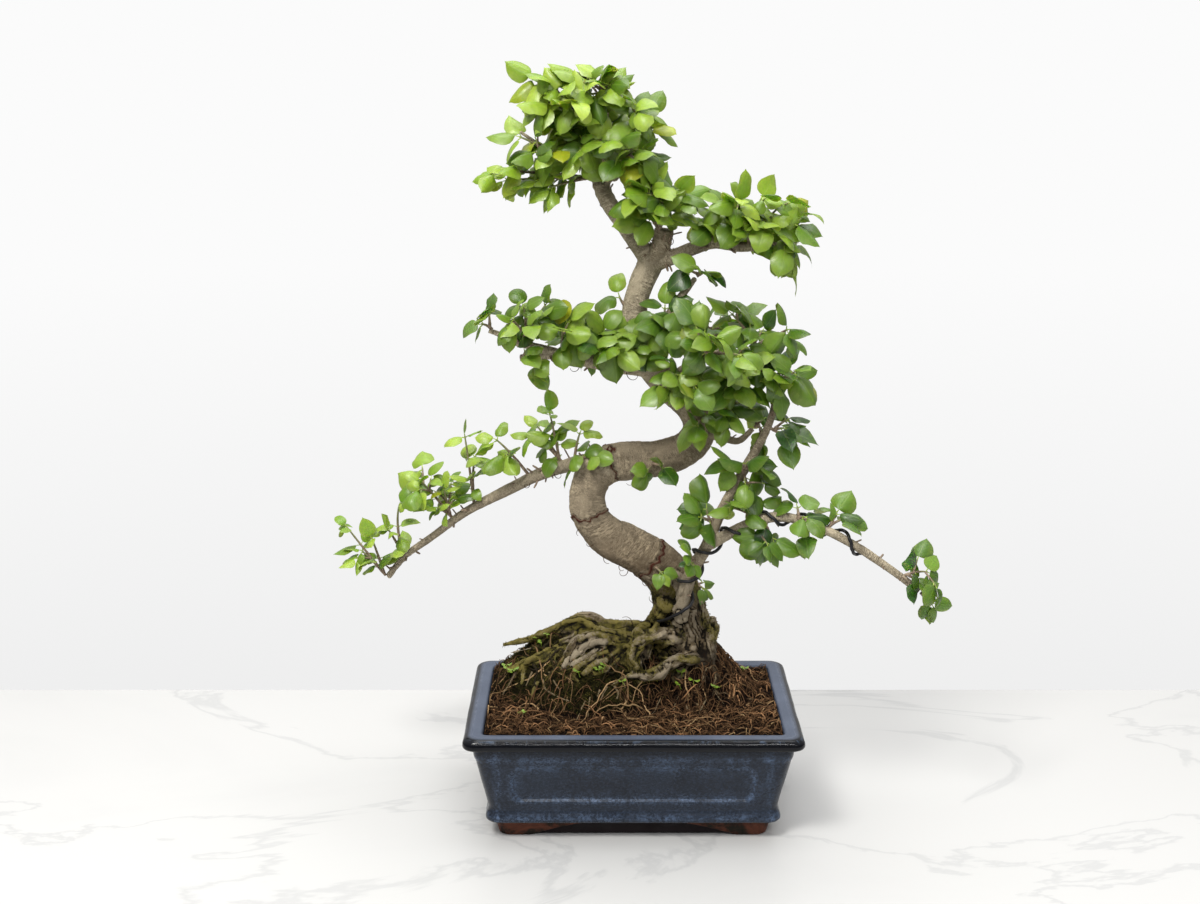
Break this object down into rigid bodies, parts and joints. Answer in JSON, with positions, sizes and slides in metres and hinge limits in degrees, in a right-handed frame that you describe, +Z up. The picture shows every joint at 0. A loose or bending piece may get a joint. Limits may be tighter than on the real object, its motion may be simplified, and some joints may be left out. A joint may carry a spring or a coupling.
{
  "type": "mandarin bonsai tree in a glazed pot",
  "caption": "A bonsai tree with an S-shaped trunk on raised roots, leafy sprays of small ovate leaves and a wired limb, in a rectangular dark blue glazed pot on feet",
  "frame": {"origin": "middle of the pot's footprint on the table, under the middle of the whole part's box", "axes": "+Z up, the longest extent; -Y is the front that the picture shows; +X to the right seen from the front, along the pot's long side; +Y, towards the back, is the shortest extent"},
  "size_m": [0.4812, 0.2163, 0.566],
  "materials": {
    "glazed_clay": "dark blue glaze with pale mottling, glossy at the rim; unglazed red-brown feet",
    "coir_soil": "damp fibrous red-brown soil, olive moss on the mound",
    "black_plastic": "matt moulded mesh",
    "bark": "rough taupe bark with fine cracks and olive moss at the base",
    "anodised_wire": "black anodised, satin",
    "leaf": "light to mid green, satin gloss, paler veins"
  },
  "bodies": {
    "root": {"drain_mesh_left": "black_plastic", "drain_mesh_right": "black_plastic", "pot": "glazed_clay", "soil": "coir_soil", "spray_apexLeft_48": "leaf", "spray_apexLeft_49": "leaf", "spray_apexRight_52": "leaf", "spray_apexRight_53": "leaf", "spray_apex_47": "leaf", "spray_apex_50": "leaf", "spray_apex_51": "leaf", "spray_apex_54": "leaf", "spray_lowRight_27": "leaf", "spray_lowerLeft_1": "leaf", "spray_lowerLeft_2": "leaf", "spray_lowerLeft_3": "leaf", "spray_lowerLeft_4": "leaf", "spray_lowerLeft_5": "leaf", "spray_lowerLeft_6": "leaf", "spray_lowerLeft_7": "leaf", "spray_midBack_25": "leaf", "spray_midBack_26": "leaf", "spray_midFront_21": "leaf", "spray_midFront_22": "leaf", "spray_midLeftTop_8": "leaf", "spray_midLeftTop_9": "leaf", "spray_midLeft_10": "leaf", "spray_midLeft_11": "leaf", "spray_midLeft_12": "leaf", "spray_midLeft_13": "leaf", "spray_midRight_17": "leaf", "spray_midRight_18": "leaf", "spray_midRight_19": "leaf", "spray_midRight_20": "leaf", "spray_midRight_24": "leaf", "spray_midUp_15": "leaf", "spray_midUp_16": "leaf", "spray_stub_46": "leaf", "spray_sucker_29": "leaf", "spray_sucker_30": "leaf", "spray_sucker_31": "leaf", "spray_sucker_32": "leaf", "spray_sucker_33": "leaf", "spray_trunk_14": "leaf", "spray_trunk_23": "leaf", "spray_trunk_28": "leaf", "spray_trunk_34": "leaf", "spray_trunk_35": "leaf", "spray_upperRight_42": "leaf", "spray_upperRight_43": "leaf", "spray_upperRight_44": "leaf", "spray_upperRight_45": "leaf", "spray_wired_36": "leaf", "spray_wired_37": "leaf", "spray_wired_38": "leaf", "spray_wired_39": "leaf", "spray_wired_40": "leaf", "spray_wired_41": "leaf", "training_wire": "anodised_wire", "trunk": "bark"}
  },
  "joints": []
}
